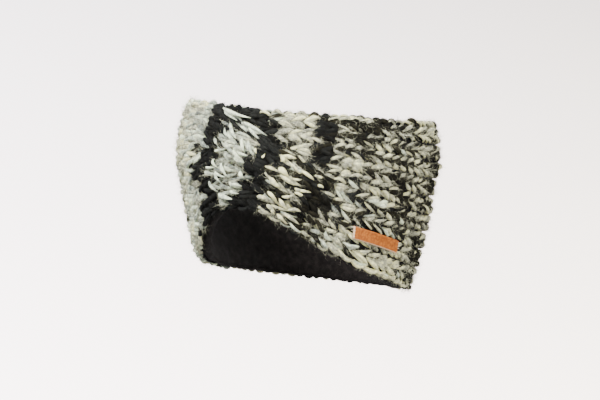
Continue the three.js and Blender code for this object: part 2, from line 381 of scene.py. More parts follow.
# ------------------------------------------------------------------ meshes
def mesh_object(name, verts_mm, faces_idx, face_sizes, mats, mat_index=None, smooth=True):
    """Builds a mesh from arrays: faces_idx is the flat list of corners, face_sizes how
    many corners each face has."""
    me = bpy.data.meshes.new(name)
    nv = len(verts_mm)
    me.vertices.add(nv)
    me.vertices.foreach_set("co", (np.asarray(verts_mm, np.float32) / 1000.0).ravel())
    me.loops.add(len(faces_idx))
    me.loops.foreach_set("vertex_index", np.asarray(faces_idx, np.int32))
    me.polygons.add(len(face_sizes))
    starts = np.concatenate([[0], np.cumsum(face_sizes)[:-1]]).astype(np.int32)
    me.polygons.foreach_set("loop_start", starts)
    me.polygons.foreach_set("loop_total", np.asarray(face_sizes, np.int32))
    for m in mats:
        me.materials.append(m)
    if mat_index is not None:
        me.polygons.foreach_set("material_index", np.asarray(mat_index, np.int32))
    me.polygons.foreach_set("use_smooth", np.full(len(face_sizes), smooth))
    me.update(calc_edges=True)
    me.validate()
    ob = bpy.data.objects.new(name, me)
    bpy.context.scene.collection.objects.link(ob)
    return ob


def ring_object(name, loops, mats, mat_index=None):
    """A closed ring of loops (m, n, 3) as one skin."""
    m, n = loops.shape[:2]
    i, k = np.meshgrid(np.arange(m), np.arange(n), indexing="ij")
    j, l = (i + 1) % m, (k + 1) % n
    quads = np.stack([i * n + k, j * n + k, j * n + l, i * n + l], -1).reshape(-1, 4)
    return mesh_object(name, loops.reshape(-1, 3), quads.ravel(), np.full(len(quads), 4), mats, mat_index)


def tubes(centres, a_dir, b_dir, ra, rb, sides=7):
    """Closed tapered tubes. centres (n, q, 3); a_dir, b_dir the cross-section's axes;
    ra, rb their radii (n, q). Returns verts, corner list and face sizes."""
    n, q = centres.shape[:2]
    ang = np.arange(sides) / sides * 2 * np.pi
    ring = (centres[:, :, None, :]
            + a_dir[:, :, None, :] * (ra[..., None] * np.cos(ang))[..., None]
            + b_dir[:, :, None, :] * (rb[..., None] * np.sin(ang))[..., None])
    verts = ring.reshape(-1, 3)
    step = np.linalg.norm(np.diff(centres, axis=1), axis=-1)
    run = np.concatenate([np.zeros((n, 1)), np.cumsum(step, 1)], 1)
    own = (np.arange(n) * 7.31) % 97
    yarn = np.stack(np.broadcast_arrays(ra[..., None] * np.cos(ang), rb[..., None] * np.sin(ang) + own[:, None, None],
                                        run[..., None] + own[:, None, None]), -1).reshape(-1, 3)
    base = (np.arange(n) * q * sides)[:, None, None]
    r = np.arange(q - 1)[None, :, None] * sides
    s = np.arange(sides)[None, None, :]
    s2 = (s + 1) % sides
    quads = np.stack(np.broadcast_arrays(base + r + s, base + r + s2, base + r + sides + s2, base + r + sides + s), -1)
    cap0 = (base[:, 0, :] + np.arange(sides)[::-1][None, :])
    cap1 = (base[:, 0, :] + (q - 1) * sides + np.arange(sides)[None, :])
    per = quads.reshape(n, -1)
    flat = np.concatenate([per, cap0, cap1], 1)
    sizes = np.concatenate([np.full((n, (q - 1) * sides), 4), np.full((n, 2), sides)], 1)
    return verts, flat, sizes, yarn


def yarn_marks(ob, yarn, shade):
    """What the wool's material reads: the place along and round the ply, and its tone."""
    lay = ob.data.attributes.new("yarn", "FLOAT_VECTOR", "POINT")
    lay.data.foreach_set("vector", yarn.astype(np.float32).ravel())
    lay = ob.data.attributes.new("shade", "FLOAT", "POINT")
    lay.data.foreach_set("value", np.asarray(shade, np.float32))


# ------------------------------------------------------------------ the knitting
ROWS = 72
WALES = 5        # stitch columns in each strip
PITCH = LOOP / ROWS
rng = np.random.default_rng(7)


def smooth_noise(rows, cols, seed, reach_r, reach_c):
    """Repeatable smooth values from -1 to 1 over a grid that closes along its rows."""
    g = np.random.default_rng(seed).normal(size=(rows, cols))
    fr = np.fft.fftfreq(rows)[:, None]
    fc = np.fft.fftfreq(cols)[None, :]
    k = np.exp(-(fr * reach_r) ** 2 * 6 - (fc * reach_c) ** 2 * 6)
    out = np.real(np.fft.ifft2(np.fft.fft2(g) * k))
    return out / (np.std(out) + 1e-9)


# Where the yarn changes colour, as angles at heights, for the strand in front and for
# the two behind it. Kinds: 0 black, 1 light, 2 marled (a ply of each), 3 black with
# thin light slivers, 4 mostly light.
STRIPES = {
    "front": [
        (4, [(-6, -27.5), (1, -23), (7.5, -26), (14.5, -29.5), (21, -30), (27.5, -24.5), (34, -18), (41, -18),
             (47, -19), (54, -18.5), (60, -18)]),
        (0, [(-4, -9), (6, -15.5), (17.5, -16), (26.5, -12.2), (38, -8), (48, -5.5), (61, -11)]),
        (1, [(-1, -2.8), (3.5, 1), (9.5, 3), (22, 7), (27, 7.4), (36, 10.4), (44, 9.8), (56, 8.2)]),
        (0, [(-5, 10.8), (2.5, 10.5), (6, 13), (16, 16), (22.5, 18.6), (31, 19.4)]),
        (3, [(-13, 25.5), (-6.5, 27), (10, 29.5), (25.5, 31.5)]),
        (0, [(-19.5, 29.5), (-14.5, 31), (0, 33.2), (16, 36.5)]),
        (2, None),
    ],
    "high": [
        (0, [(37, 21.0), (48, 17.8), (56, 15.8)]),
        (1, [(16, 30), (25, 32.4), (41, 36.4), (54, 35.0)]),
        (0, [(16.5, 38), (25, 40.5), (34, 43.0), (47, 43.4), (54, 44.0)]),
        (3, [(30, 43), (40, 44), (46, 49), (54, 53)]),
        (2, None),
    ],
    "low": [
        (4, [(-30, -31), (-6, -27.5), (1, -23), (7.5, -26), (14.5, -29.5), (21, -30.5), (30, -22), (36, -18.5)]),
        (0, [(-8, -7), (-4, -9), (6, -15.5), (17.5, -16), (26.5, -12.2)]),
        (1, [(-8, -4), (-1, -2.8), (3.5, 1), (9.5, 3), (22, 7)]),
        (0, [(-16, 9), (-6, 10.5), (2.5, 10.5), (10, 13)]),
        (3, [(-26, 23), (-13, 25.5), (-6.5, 27)]),
        (0, [(-33, 27), (-19.5, 29.5), (-14.5, 31)]),
        (2, None),
    ],
}
STRIPES = {key: [(kind, hermite([p[0] for p in row], [p[1] for p in row]) if row else None)
                 for kind, row in rows] for key, rows in STRIPES.items()}


def stripe(name, t, z, jitter):
    out = np.full(np.shape(t), 2)
    for kind, edge in reversed(STRIPES[name]):
        if edge is None:
            out = np.full(np.shape(t), kind)
        else:
            out = np.where(t + jitter < edge(z), kind, out)
    return np.where(t < -118, 2, out)


# Where the marl runs darker or lighter: angle, height, reach in mm, how much.
CLUMPS = [
    (77.2, 3.2, 7.5, -1.3), (59.2, 27.2, 7.5, -1.3), (52.2, 13.8, 6.2, -1.3), (50.8, 48.5, 6.2, -1.3),
    (57.2, 46.0, 4.1, -1.3), (68.5, -9.0, 4.1, -1.3), (40.2, 10.2, 5.5, -1.3), (71.5, 44.8, 4.1, -1.3),
    (35.8, 0.0, 5.5, -1.3), (98.2, -2.5, 4.1, -1.3), (47.8, 38.2, 5.5, 1.0), (50.2, 21.5, 6.2, 1.0),
    (50.0, 4.8, 5.5, 1.0), (66.0, -1.0, 5.5, 1.0), (80.2, -7.0, 4.8, 1.0), (88.8, -25.5, 7.5, 1.0),
    (92.8, 31.2, 7.5, 1.0), (57.0, -33.5, 7.5, 0.8), (45.8, -26.5, 8.2, 0.8), (62.0, -15.2, 5.5, 0.8),
    (75.2, 33.0, 5.5, 1.0), (100.0, 44.5, 6.2, 1.0), (37.0, -10.0, 5.5, 0.8), (100.0, -14.0, 6.9, 1.0),
    (28.2, -18.2, 4.8, 0.8), (98.0, -45.0, 9.0, 1.0), (113.0, 24.0, 9.0, 0.9), (115.0, 2.0, 8.0, 0.8),
    (113.0, -28.0, 9.0, 0.9),
]


def clump(t, z):
    total = np.zeros(np.shape(t))
    for t0, z0, reach, much in CLUMPS:
        total += much * np.exp(-(((t - t0) * 1.63) ** 2 + (z - z0) ** 2) / reach ** 2)
    return total


SAMPLES = 11


def knit(name, wales, seed):
    """The legs of a strip's stitches as two plies each."""
    g = np.random.default_rng(seed)
    start, end = STRIPS[name][2:]
    u_start, u_end = along(np.array(start + 1e-6)), along(np.array(end - 1e-6))
    i0, i1 = math.ceil(u_start / PITCH), math.floor(u_end / PITCH - 1e-6)
    ii, jj = np.meshgrid(np.arange(i0, i1 + 1), np.arange(wales), indexing="ij")
    ii, jj = ii.ravel(), jj.ravel()
    n = len(ii)
    nu = ii * PITCH
    nf = (jj + 0.5) / wales
    # which stitches show
    pt, nm, t, z = strip_at(name, nu, nf)
    keep = np.ones(n, bool)
    if name == "low":
        keep = z < LOWER(t) + 8.5 + 60 * (1 - ease((t + 40) / 12))
    if name == "high":
        keep = z > UPPER(t) - 8.5 - 60 * (1 - ease((64 - t) / 12))
    ii, jj, nu, nf, t, z = (v[keep] for v in (ii, jj, nu, nf, t, z))
    n = len(ii)
    noise_a = smooth_noise(128, 16, seed + 1, 4, 1.5)
    noise_b = smooth_noise(128, 16, seed + 2, 5, 3)
    noise_c = smooth_noise(128, 16, seed + 3, 1.2, 4.0)
    pick = lambda a: a[np.mod(ii, 128), np.mod(jj, 16)]
    tight = 1 + 0.05 * pick(noise_a) + 0.05 * g.normal(size=n)
    q = np.linspace(0, 1, SAMPLES)
    jitter = 0.8 * pick(smooth_noise(128, 16, 991, 1, 1.2)) + 0.4 * g.normal(size=n)
    wander = pick(smooth_noise(128, 16, seed + 11, 2.2, 2.6))
    thin = pick(smooth_noise(128, 16, seed + 12, 1.5, 2.0))
    legs = []
    for side in (-1.0, 1.0):
        kind = stripe(name, t, z + side * 2.2, jitter + 0.5 * g.normal(size=n))
        # stitches drawn out along the front strand's upper side
        drawn = np.zeros(n)
        if name == "front":
            drawn = ease((t + 14) / 8) * ease((42 - t) / 8) * ease((nf * wales - 1.8) / 1.7)
        drawn = np.maximum(drawn, np.where(kind == 3, 0.75, 0.0)) * (0.6 + 0.4 * g.uniform(size=n))
        ju = 0.05 * g.normal(size=n) + 0.04 * pick(noise_b)
        jw = 0.03 * g.normal(size=n)
        jh = 0.34 * g.normal(size=n) + 0.25 * pick(noise_a)
        length = tight * (1.05 + 0.06 * g.normal(size=n)) * (1 + 0.38 * drawn)
        s = 0.69 - 1.38 * q
        s_curve = s[None, :] * length[:, None] + ju[:, None]
        spread = 0.06 + 0.43 * (q ** 0.9)
        w = side * (spread[None, :] * ((1 + 0.05 * g.normal(size=n)) * (1 - 0.16 * drawn))[:, None]) + jw[:, None]
        arch = np.sin(np.pi * np.clip(q * 0.94 + 0.03, 0, 1))
        h = -4.5 + 3.30 * arch[None, :] ** 0.9 + jh[:, None]
        uu = nu[:, None] + s_curve * PITCH
        ff = np.clip(nf[:, None] + w / wales, 0, 1)
        c, nrm, tt, zz = strip_at(name, uu, ff, h)
        tan = np.gradient(c, axis=1)
        tan /= np.linalg.norm(tan, axis=-1, keepdims=True)
        b = nrm - tan * np.sum(nrm * tan, -1, keepdims=True)
        b /= np.linalg.norm(b, axis=-1, keepdims=True)
        a = np.cross(b, tan) * side        # across the leg, towards the next row
        # how the two plies lie round each other
        phase = 0.70 * pick(noise_c) + 0.45 * g.normal(size=n)
        twist = side * (1.1 + 0.25 * g.normal(size=n))
        psi = phase[:, None] + twist[:, None] * (q - 0.5)[None, :]
        fat = np.sin(np.pi * np.clip(q * 0.97 + 0.015, 0, 1)) ** 0.9
        for ply in (0, 1):
            sign = 1.0 if ply == 0 else -1.0
            swell = 1 + 0.10 * g.normal(size=n)
            lumps = g.normal(size=(n, SAMPLES))
            lumps = (np.roll(lumps, 1, 1) + lumps + np.roll(lumps, -1, 1)) / 3
            r = (0.13 + 1.24 * fat)[None, :] * (swell * tight)[:, None] * (1 + 0.15 * lumps)
            off = 1.08 * (0.30 + 0.86 * fat)[None, :]
            centre = c + (a * np.cos(psi)[..., None] + b * (np.sin(psi) * 0.8)[..., None]) * (off * sign)[..., None]
            if ply == 0:
                centre = centre + b * (0.35 * drawn * (kind == 3))[:, None, None]
            legs.append((centre, a, b, r, r * 0.92, ply, kind, tt[:, SAMPLES // 2], drawn))
    # colours, and how thick each ply is
    parts = []
    flip = pick(smooth_noise(128, 16, seed + 13, 2.5, 1.8)) > 1.15
    close = pick(smooth_noise(128, 16, seed + 14, 1.7, 1.2))
    # the light yarn is cooler along the front strand and creamier round the near side; the black yarn on the near side
    # gets a warm tint that is painted bounce light
    g2 = np.random.default_rng(seed + 500)
    cream = (0.5 - 0.46 * ease((t + 28) / 8) + 0.64 * ease((t - 2) / 14) + 0.20 * ease((t - 50) / 20)
             - 0.38 * ease((t - 120) / 50))
    if name == "high":
        cream = 0.88 - 0.38 * ease((t - 120) / 50)
    for centre, a, b, ra, rb, ply, kind, tm, drawn in legs:
        dice = g.uniform(size=n)
        own = np.where(flip, 1 - ply, ply)
        seen = ease((t - 20) / 15) * ease((124 - t) / 12)
        mood = (1 - 0.35 * seen) * (0.55 * wander + 0.75 * close) + 0.30 * g.normal(size=n) + clump(t, z)
        marl = np.where(mood > 1.05, 0, np.where(mood < -1.00, 1, own))
        # In light stripes the drawn-out stitches get more black plies: partly the yarn's own black, partly painted
        # shade between the slivers.
        col = np.select([kind == 0, kind == 1, kind == 2, kind == 3],
                        [np.where(dice < 0.015, 0, 1), np.where(dice < 0.09 + 0.26 * drawn, 1, 0), marl,
                         np.where(wander < -1.5, 1, np.where(mood > 1.6, 0, own))],
                        np.where((wander + 0.6 * (own - 0.5) + 0.5 * g.normal(size=n))
                                 > 1.45 + 1.2 * ease((t + 48) / 8) * ease((-16 - t) / 6), 1, 0))
        # Black plies picked here get the warm tint of painted bounce light; light plies picked turn cream, the yarn's
        # own tone.
        warm = 0.75 * g2.uniform(size=n) + 0.125 + 0.10 * wander < cream
        bounce_black = warm & ((kind != 0) | ((t > 24) & (g2.uniform(size=n) < 0.4)))
        col = np.where(col == 1, np.where(bounce_black, 2, 1), np.where(warm, 3, 0))
        size = np.ones(n)
        size = np.where((kind == 2) & (own == 0), 0.90 + 0.12 * np.clip(thin, -1.5, 1.5), size)
        size = np.where((kind == 3) & (own == 0), 0.64 + 0.10 * np.clip(thin, -1.5, 1.5), size)
        size = np.where((kind == 2) & (own == 1), 1.08, size)
        size = np.where((kind == 3) & (own == 1), 1.10, size)
        size = np.where(kind == 1, 0.92 - 0.14 * drawn + 0.07 * thin, size)
        # Random tone per ply; the drop on light plies of drawn-out stitches is painted shade under the slivers.
        shade = 0.5 + 0.17 * g.normal(size=n) + 0.08 * close - 0.16 * drawn * (kind == 1)
        parts.append((centre, a, b, ra * size[:, None], rb * size[:, None], col, tm, np.clip(shade, 0, 1)))
    cat = lambda k: np.concatenate([p[k] for p in parts], 0)
    return tuple(cat(k) for k in range(8))


everything = [knit("front", WALES, 21), knit("low", WALES, 22), knit("high", WALES, 23)]
centre, a_dir, b_dir, ra, rb, colour, where, shades = (np.concatenate([e[k] for e in everything], 0) for k in range(8))

GROUPS = {"knit_front": (-32.0, 58.0), "knit_near": (58.0, 130.0), "knit_far": (-110.0, -32.0)}
taken = np.zeros(len(where), bool)
turned = np.mod(where + 180, 360) - 180
masks = []
for name, (a0, a1) in GROUPS.items():
    m = (turned >= a0) & (turned < a1)
    taken |= m
    masks.append((name, m))
masks.append(("knit_back", ~taken))
total_tris = 0
for name, m in masks:
    v, f, s, yarn = tubes(centre[m], a_dir[m], b_dir[m], ra[m], rb[m])
    cols = np.repeat(colour[m], s.shape[1])
    ob = mesh_object(name, v, f.ravel(), s.ravel(), [LIGHT, BLACK, BLACK_WARM_BOUNCE, CREAM], cols)
    yarn_marks(ob, yarn, np.repeat(shades[m], len(v) // len(f)))
    tris = int((s.ravel() - 2).sum())
    total_tris += tris
    print("piece", name, "legs", int(m.sum()), "triangles", tris)
    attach(ob, "root")
    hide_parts("knit_band")


# ------------------------------------------------------------------ drawn-out stitches
# Where the front strand is pulled tight, single plies lie long and loose over the
# stitches. Each row gives one's two ends as angle and height, and its width in mm.
SLIVERS = [
    # strip, angle, height, angle, height, width
    ("front", -9.8, 59.5, 6.8, 52.5, 2.8), ("front", -8.2, 57.2, 1.2, 50.5, 1.7),
    ("front", 3.8, 50.0, 14.8, 41.2, 2.2), ("front", 6.5, 47.2, 11.8, 38.8, 2.0),
    ("front", -6.0, 46.5, -1.0, 39.8, 2.1), ("front", -2.8, 50.0, 2.0, 38.5, 2.6),
    ("front", 4.2, 39.8, 6.0, 30.0, 2.4), ("front", 7.2, 38.0, 9.5, 28.5, 2.8),
    ("front", -11.2, 39.5, -7.0, 33.2, 2.2), ("front", -11.0, 31.2, -3.8, 32.8, 1.7),
    ("front", -11.8, 26.0, -9.2, 20.2, 2.0), ("front", -17.0, 20.5, -11.0, 20.5, 1.7),
    ("front", -11.2, 18.0, -5.0, 14.2, 1.7), ("front", -7.0, 23.5, -3.2, 13.8, 2.3),
    ("front", 3.0, 30.5, 7.8, 28.0, 2.0), ("front", 3.2, 18.5, 4.8, 14.0, 3.0),
    ("front", 10.5, 33.2, 11.2, 29.0, 1.7), ("front", 13.5, 28.2, 14.5, 29.8, 1.6),
    ("front", -16.2, 12.5, -10.8, 4.5, 2.1), ("front", -11.2, 18.0, -7.5, 10.0, 2.0),
    ("front", -10.8, 3.5, -2.0, -0.2, 3.6), ("front", -2.8, 8.5, 3.5, 8.5, 2.1),
    ("front", -3.2, 5.8, 1.2, 3.8, 2.1), ("front", 21.5, 28.5, 27.2, 26.5, 2.6),
    ("front", 21.0, 29.0, 22.5, 23.8, 2.6), ("front", 23.8, 24.8, 28.8, 16.2, 2.4),
    ("front", 19.8, 21.0, 23.8, 14.8, 3.6), ("front", 28.8, 19.0, 34.5, 12.5, 2.4),
    ("high", 28.2, 28.5, 32.0, 21.0, 1.5), ("front", 16.0, 15.8, 20.2, 8.2, 3.7),
    ("front", 20.5, 16.2, 26.2, 9.2, 3.0), ("front", 25.0, 7.8, 33.2, 4.8, 2.1),
    ("front", 25.2, 5.5, 31.0, 0.2, 2.1), ("front", 20.5, 2.2, 26.2, 4.0, 2.0),
    ("front", 10.0, 2.2, 15.2, 0.5, 2.9), ("front", 14.8, 5.5, 18.5, -0.5, 2.6),
    ("front", 19.5, 1.0, 22.8, -6.5, 2.6), ("front", 22.5, -7.0, 29.0, -8.0, 2.5),
    ("front", 21.0, -8.5, 28.0, -16.2, 2.3), ("front", 16.0, -4.8, 17.2, -9.5, 1.7),
    ("front", 14.0, -3.2, 17.4, -7.6, 2.8), ("front", 18.2, -9.0, 21.6, -14.4, 2.2),
    ("front", 34.5, 15.8, 38.8, 13.0, 2.0), ("front", 35.5, 9.2, 38.5, 7.5, 2.0),
    ("front", 25.0, 14.2, 29.5, 13.5, 1.5),
]


def drawn_stitches():
    g = np.random.default_rng(88)
    q = np.linspace(0, 1, 15)
    swell = 0.92 * np.sin(np.pi * np.clip(0.06 + q ** 0.85 * 0.92, 0, 1)) ** 1.15
    cs, aa, bb, rr = [], [], [], []
    for strip, t0, z0, t1, z1, width in SLIVERS:
        t = t0 + (t1 - t0) * q
        bow = 0.5 * g.normal() * np.sin(np.pi * q)
        z = z0 + (z1 - z0) * q + bow
        lo, hi = (f(t) for f in STRIPS[strip][:2])
        lift = lift_of(strip, t, np.clip(z, lo + 0.5, hi - 0.5), lo, hi)
        c = place(t, z, lift - 2.7 + 3.3 * np.sin(np.pi * q) ** 0.55)
        tan = np.gradient(c, axis=0)
        tan /= np.linalg.norm(tan, axis=-1, keepdims=True)
        n = side_normal(t)
        b = n - tan * np.sum(n * tan, -1, keepdims=True)
        b /= np.linalg.norm(b, axis=-1, keepdims=True)
        cs.append(c)
        aa.append(np.cross(b, tan))
        bb.append(b)
        lumps = g.normal(size=15)
        lumps = (np.roll(lumps, 1) + lumps + np.roll(lumps, -1)) / 3
        rr.append((0.12 + width / 2 * swell) * (1 + 0.12 * lumps))
    rr = np.stack(rr)
    v, f, s, yarn = tubes(np.stack(cs), np.stack(aa), np.stack(bb), rr, rr * 0.8, sides=8)
    cream = np.array([1 if row[1] > 8 else 0 for row in SLIVERS])
    ob = mesh_object("knit_drawn", v, f.ravel(), s.ravel(), [LIGHT, CREAM], np.repeat(cream, s.shape[1]))
    yarn_marks(ob, yarn, np.repeat(np.clip(0.80 + 0.12 * g.normal(size=len(rr)), 0, 1), len(v) // len(rr)))
    return ob


drawn_piece = drawn_stitches()
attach(drawn_piece, "root")
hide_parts("knit_band")


# ------------------------------------------------------------------ painted shade sheet behind the stitches
def band_loop(t):
    """One cross-section of a near-black sheet just behind the stitches, as the solid's, a little thinner; its colour
    is painted shade seen in the gaps between stitches.
    """
    zb, zt = bottom(t), top(t)
    r = 2.2
    zo = np.linspace(zb + 3.4, zt - 3.4, 40)
    outer = place(np.full(40, t), zo, relief(np.full(40, t), zo) - 3.1)
    zi = np.linspace(zt - 3.4, zb + 3.4, 14)
    edge = np.minimum(zi - zb, zt - zi)
    inner = place(np.full(14, t), zi, -(5.6 + 2.7 * ease((edge - 2.8) / 11)))
    qs = np.array([45, 90, 135]) * RAD
    top_cap = place(np.full(3, t), zt - 3.4 + r * np.sin(qs), -3.1 - 1.3 * (1 - np.cos(qs)))
    bot_cap = place(np.full(3, t), zb + 3.4 - r * np.sin(qs[::-1]), -3.1 - 1.3 * (1 - np.cos(qs[::-1])))
    return np.concatenate([outer, top_cap, inner, bot_cap], 0)


angles = np.concatenate([np.arange(-40, 66, 1.0), np.arange(66, 320, 2.5)])
loops = np.stack([band_loop(float(t)) for t in angles])
mid_t = np.repeat(angles, loops.shape[1])
flat_z = loops.reshape(-1, 3)[:, 2]
# The sheet is painted shade throughout: near black, a little less dark behind the light stripes.
kind = stripe("front", np.mod(mid_t + 180, 360) - 180, flat_z, 0.0)
shade_sheet = ring_object("knit_gap_shade", loops, [GAP_SHADE_UNDER_BLACK, GAP_SHADE_UNDER_LIGHT], np.where(kind == 1, 1, 0))
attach(shade_sheet, "root")
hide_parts("knit_band")


# ------------------------------------------------------------------ fuzz
def fuzz(name, count, near, mats, seed, length, width, rise):
    """Loose fibres that stand off the yarn, as thin ribbons."""
    g = np.random.default_rng(seed)
    mid = centre[:, SAMPLES // 2, 2]
    tab = (TAB_Z0 + (TAB_Z1 - TAB_Z0) * (turned - TAB_FROM) / (TAB_TO - TAB_FROM))
    near = near & ~((turned > TAB_FROM - 2.5) & (turned < TAB_TO + 2.5) & (np.abs(mid - tab) < 7.5))
    pool = np.flatnonzero(near)
    k = pool[g.integers(0, len(pool), count)]
    qi = g.integers(1, SAMPLES - 2, count)
    n = b_dir[k, qi]
    a = a_dir[k, qi]
    c = np.cross(a, n)
    side = g.uniform(-0.9, 0.9, count)
    root = (centre[k, qi] + n * (rb[k, qi] * 0.9 * np.sqrt(1 - side ** 2))[:, None]
            + a * (ra[k, qi] * 0.9 * side)[:, None])
    th = g.uniform(0, 2 * np.pi, count)
    d = a * np.cos(th)[:, None] * 0.8 + c * np.sin(th)[:, None]
    e = np.cross(d, n)
    ln = g.uniform(*length, count)
    up = g.uniform(*rise, count) * (1 + 1.0 * (g.uniform(size=count) > 0.95))
    bend = g.normal(size=count) * 0.4
    seg = 3
    s = np.linspace(0, 1, seg + 1)
    pts = (root[:, None, :] + d[:, None, :] * (ln[:, None] * s)[..., None]
           + e[:, None, :] * (ln[:, None] * bend[:, None] * s ** 2)[..., None]
           + n[:, None, :] * (up[:, None] * np.sin(s * np.pi * 0.66) - 0.05)[..., None])
    wide = width * (1 - 0.6 * s)
    left = pts + e[:, None, :] * wide[None, :, None]
    right = pts - e[:, None, :] * wide[None, :, None]
    verts = np.stack([left, right], 2).reshape(-1, 3)
    base = (np.arange(count) * (seg + 1) * 2)[:, None]
    r = np.arange(seg)[None, :] * 2
    quads = np.stack([base + r, base + r + 1, base + r + 3, base + r + 2], -1)
    cols = np.repeat(np.where((colour[k] == 1) | (colour[k] == 2), 1, 0), seg)
    ob = mesh_object(name, verts, quads.ravel(), np.full(count * seg, 4), mats, cols)
    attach(ob, "root")
    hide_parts("knit_band")
    return ob


FUZZ_LIGHT = wool("fuzz_light", tone(0.5, 1, 1, 0.72), tone(0.65, 1, 1, 0.72), tone(0.8, 1, 1, 0.72), 0.1, bump=0.0)
# The black fuzz's warm tint is painted bounce light.
FUZZ_BLACK = wool("fuzz_black", tone(0.008, 1, 0.98, 0.78), tone(0.016, 1, 0.98, 0.78), tone(0.028, 1, 0.98, 0.78), 0.03, bump=0.0)
in_front = (turned > -45) & (turned < 95)
fuzz_pieces = [
    fuzz("knit_fuzz_front", 25000, in_front, [FUZZ_LIGHT, FUZZ_BLACK], 77, (1.4, 4.2), 0.07, (0.1, 0.9)),
    fuzz("knit_fuzz_back", 14000, ~in_front, [FUZZ_LIGHT, FUZZ_BLACK], 78, (1.4, 4.2), 0.07, (0.1, 0.9)),
    fuzz("knit_halo", 26000, turned > -999, [FUZZ_LIGHT, FUZZ_BLACK], 79, (2.5, 7.0), 0.055, (0.8, 3.2)),
]


# ------------------------------------------------------------------ lining
def lining_loop(t, k):
    zb, zt = bottom(t) + 0.8, top(t) - 2.5
    edge = lambda z: np.minimum(z - bottom(t), top(t) - z)
    rim = 3.2
    mid = 6.0 + rim
    no, ni = 26, 46
    zo = np.linspace(zb + rim + 2, zt - rim - 2, no)
    out = -(5.6 + 2.9 * ease((edge(zo) - 5.6) / 11) + 0.4)
    outer = place(np.full(no, t), zo, out)
    qs = np.linspace(20, 160, 9) * RAD
    cap_t = place(np.full(9, t), zt - rim + rim * np.sin(qs), -(mid - rim * np.cos(qs)))
    zi = np.linspace(zt - rim - 0.6, zb + rim + 0.6, ni)
    seam = np.exp(-((np.minimum(zi - zb, zt - zi) - 13.0) / 0.8) ** 2)
    thin = ease((np.minimum(zi - zb, zt - zi) - 11.5) / 3.0)
    inner = place(np.full(ni, t), zi, -(12.4 - 0.7 * thin - 0.6 * seam))
    cap_b = place(np.full(9, t), zb + rim - rim * np.sin(qs[::-1]), -(mid - rim * np.cos(qs[::-1])))
    return np.concatenate([outer, cap_t, inner, cap_b], 0)


lin_angles = np.linspace(-180, 180, 221)[:-1]
lin = np.stack([lining_loop(float(t), i) for i, t in enumerate(lin_angles)])
# the pile's lumps
lump = smooth_noise(lin.shape[0], lin.shape[1], 5, 1.6, 1.6) * 0.22
du = np.roll(lin, -1, 0) - np.roll(lin, 1, 0)
dv = np.roll(lin, -1, 1) - np.roll(lin, 1, 1)
nn = np.cross(du, dv)
nn /= np.linalg.norm(nn, axis=-1, keepdims=True) + 1e-9
lin = lin + nn * (lump - 0.1)[..., None]
lining = ring_object("fleece_lining", lin, [FLEECE])
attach(lining, "root")
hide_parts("lining")


# ------------------------------------------------------------------ label
def leather():
    n = Nodes("leather_tan")
    pos = n.add("ShaderNodeTexCoord")
    grain = n.add("ShaderNodeTexVoronoi", {"Scale": 1500.0}, feature="DISTANCE_TO_EDGE")
    blot = n.add("ShaderNodeTexNoise", {"Scale": 620.0, "Detail": 4.0, "Roughness": 0.6})
    n.link(pos, "Object", grain, "Vector")
    n.link(pos, "Object", blot, "Vector")
    r = ramp(n, [(0.36, (0.255, 0.064, 0.008, 1)), (0.5, (0.345, 0.096, 0.012, 1)), (0.64, (0.47, 0.145, 0.022, 1))])
    n.link(blot, "Fac", r, "Fac")
    lump = n.add("ShaderNodeBump", {"Strength": 0.35, "Distance": 0.0002})
    n.link(grain, "Distance", lump, "Height")
    shade = n.add("ShaderNodeBsdfPrincipled", {"Roughness": 0.5, "Specular IOR Level": 0.25})
    n.link(r, "Color", shade, "Base Color")
    n.link(lump, "Normal", shade, "Normal")
    n.link(shade, "BSDF", n.out, "Surface")
    return n.mat


def cut_edge_and_highlight():
    n = Nodes("leather_cut_edge_and_highlight")
    pos = n.add("ShaderNodeTexCoord")
    blot = n.add("ShaderNodeTexNoise", {"Scale": 1400.0, "Detail": 4.0, "Roughness": 0.7})
    n.link(pos, "Object", blot, "Vector")
    r = ramp(n, [(0.3, (0.62, 0.36, 0.20, 1)), (0.7, (0.90, 0.66, 0.46, 1))])
    n.link(blot, "Fac", r, "Fac")
    lump = n.add("ShaderNodeBump", {"Strength": 0.5, "Distance": 0.0003})
    n.link(blot, "Fac", lump, "Height")
    shade = n.add("ShaderNodeBsdfPrincipled", {"Roughness": 0.9, "Specular IOR Level": 0.2})
    n.link(r, "Color", shade, "Base Color")
    n.link(lump, "Normal", shade, "Normal")
    n.link(shade, "BSDF", n.out, "Surface")
    return n.mat


LEATHER, CUT_EDGE_AND_HIGHLIGHT = leather(), cut_edge_and_highlight()


